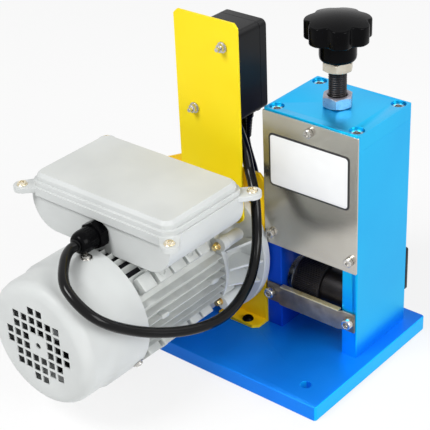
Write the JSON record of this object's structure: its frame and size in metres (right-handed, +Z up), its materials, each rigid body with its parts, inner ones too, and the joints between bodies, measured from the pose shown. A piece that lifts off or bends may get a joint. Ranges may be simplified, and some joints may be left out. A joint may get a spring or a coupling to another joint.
{
  "type": "electric wire stripping machine",
  "caption": "Bench wire stripper: slotted tower with knurled feed wheel and height-adjustable cutting disc, driven by a flange motor through a worm gear, with switch box and mains lead.",
  "frame": {"origin": "centre of the base plate's underside, in the plane that stands on the bench", "axes": "+Z up, +X along the front edge to the right, +Y to the back where the wire goes in; the motor points to the front"},
  "size_m": [0.2688, 0.4172, 0.3162],
  "materials": {
    "blue_anodised": "anodised satin",
    "yellow_paint": "semi-gloss",
    "grey_casting": "sprayed satin",
    "stainless": "brushed",
    "zinc_plate": "zinc passivated",
    "steel": "machined",
    "dark_steel": "blackened",
    "black_plastic": "fine grain",
    "black_rubber": "matte",
    "bronze": "machined",
    "green_plastic": "gloss",
    "red_plastic": "gloss",
    "laminations": "stacked sheet"
  },
  "bodies": {
    "frame": {"base_plate": "blue_anodised", "tower_left_plate": "blue_anodised", "tower_right_plate": "blue_anodised", "tower_top_plate": "blue_anodised", "cap_screw_front_left": "steel", "cap_screw_front_right": "steel", "cap_screw_rear_left": "steel", "cap_screw_rear_right": "steel", "front_guard": "stainless", "guard_screw_left": "steel", "guard_screw_right": "steel", "guard_screw_top": "steel", "exit_rest": "zinc_plate", "rest_screw_left": "steel", "rest_screw_right": "steel", "inlet_plate": "dark_steel", "motor_bracket": "yellow_paint", "foot_screw_left": "dark_steel", "foot_screw_right": "dark_steel", "switch_panel": "yellow_paint", "switch_base": "black_plastic", "switch_cover": "black_plastic", "switch_bolt_upper": "steel", "switch_bolt_lower": "steel", "drive_shield": "grey_casting", "motor_frame": "grey_casting", "rear_shield": "grey_casting", "fan_cowl": "grey_casting", "stator_core": "laminations", "flange_bolt_upper_right": "zinc_plate", "flange_bolt_upper_left": "zinc_plate", "flange_bolt_lower_left": "zinc_plate", "flange_bolt_lower_right": "zinc_plate", "terminal_box": "grey_casting", "terminal_lid": "grey_casting", "cable_gland": "black_plastic", "gear_case": "grey_casting", "gear_cover": "grey_casting", "feed_bearing_left": "steel", "feed_bearing_right": "steel", "lock_nut": "steel", "motor_lead": "black_rubber", "mains_relief": "black_rubber", "mains_lead": "black_rubber", "mains_coil": "black_rubber", "mains_plug": "black_plastic"},
    "rotor": {"rotor_shaft": "steel", "rotor_core": "laminations", "cooling_fan": "black_plastic"},
    "feed_drive": {"feed_shaft": "steel", "feed_wheel": "dark_steel", "worm_wheel": "bronze"},
    "carriage": {"blade_carriage": "steel", "cutter_axle": "dark_steel"},
    "cutter": {"cutter_blade": "steel"},
    "adjuster": {"adjusting_screw": "dark_steel", "knob_nut": "steel", "star_knob": "black_plastic"},
    "start": {"start_button": "green_plastic"},
    "stop": {"stop_button": "red_plastic"}
  },
  "joints": [
    {"name": "rotor_spin", "type": "hinge", "parent": "frame", "child": "rotor", "pos_m": [-0.0514, -0.06, 0.087], "axis": [0, 1, 0], "continuous": true},
    {"name": "feed_spin", "type": "hinge", "parent": "frame", "child": "feed_drive", "pos_m": [0.063, 0.0185, 0.062], "axis": [1, 0, 0], "continuous": true},
    {"name": "carriage_slide", "type": "slide", "parent": "frame", "child": "carriage", "axis": [0, 0, 1], "range_m": [-0.0055, 0.014]},
    {"name": "cutter_spin", "type": "hinge", "parent": "carriage", "child": "cutter", "pos_m": [0.063, 0.0185, 0.111], "axis": [1, 0, 0], "continuous": true},
    {"name": "adjuster_turn", "type": "hinge", "parent": "carriage", "child": "adjuster", "pos_m": [0.063, 0.032, 0.16], "axis": [0, 0, 1], "range_deg": [-1000, 2540]},
    {"name": "start_press", "type": "slide", "parent": "frame", "child": "start", "axis": [0, -1, 0], "range_m": [0, 0.003], "stiffness_N_per_m": 900},
    {"name": "stop_press", "type": "slide", "parent": "frame", "child": "stop", "axis": [0, -1, 0], "range_m": [0, 0.003], "stiffness_N_per_m": 900}
  ],
  "couplings": [
    {"joint": "feed_spin", "follows": "rotor_spin", "ratio": 0.033333},
    {"joint": "adjuster_turn", "follows": "carriage_slide", "rad_per_m": 3141.6}
  ]
}
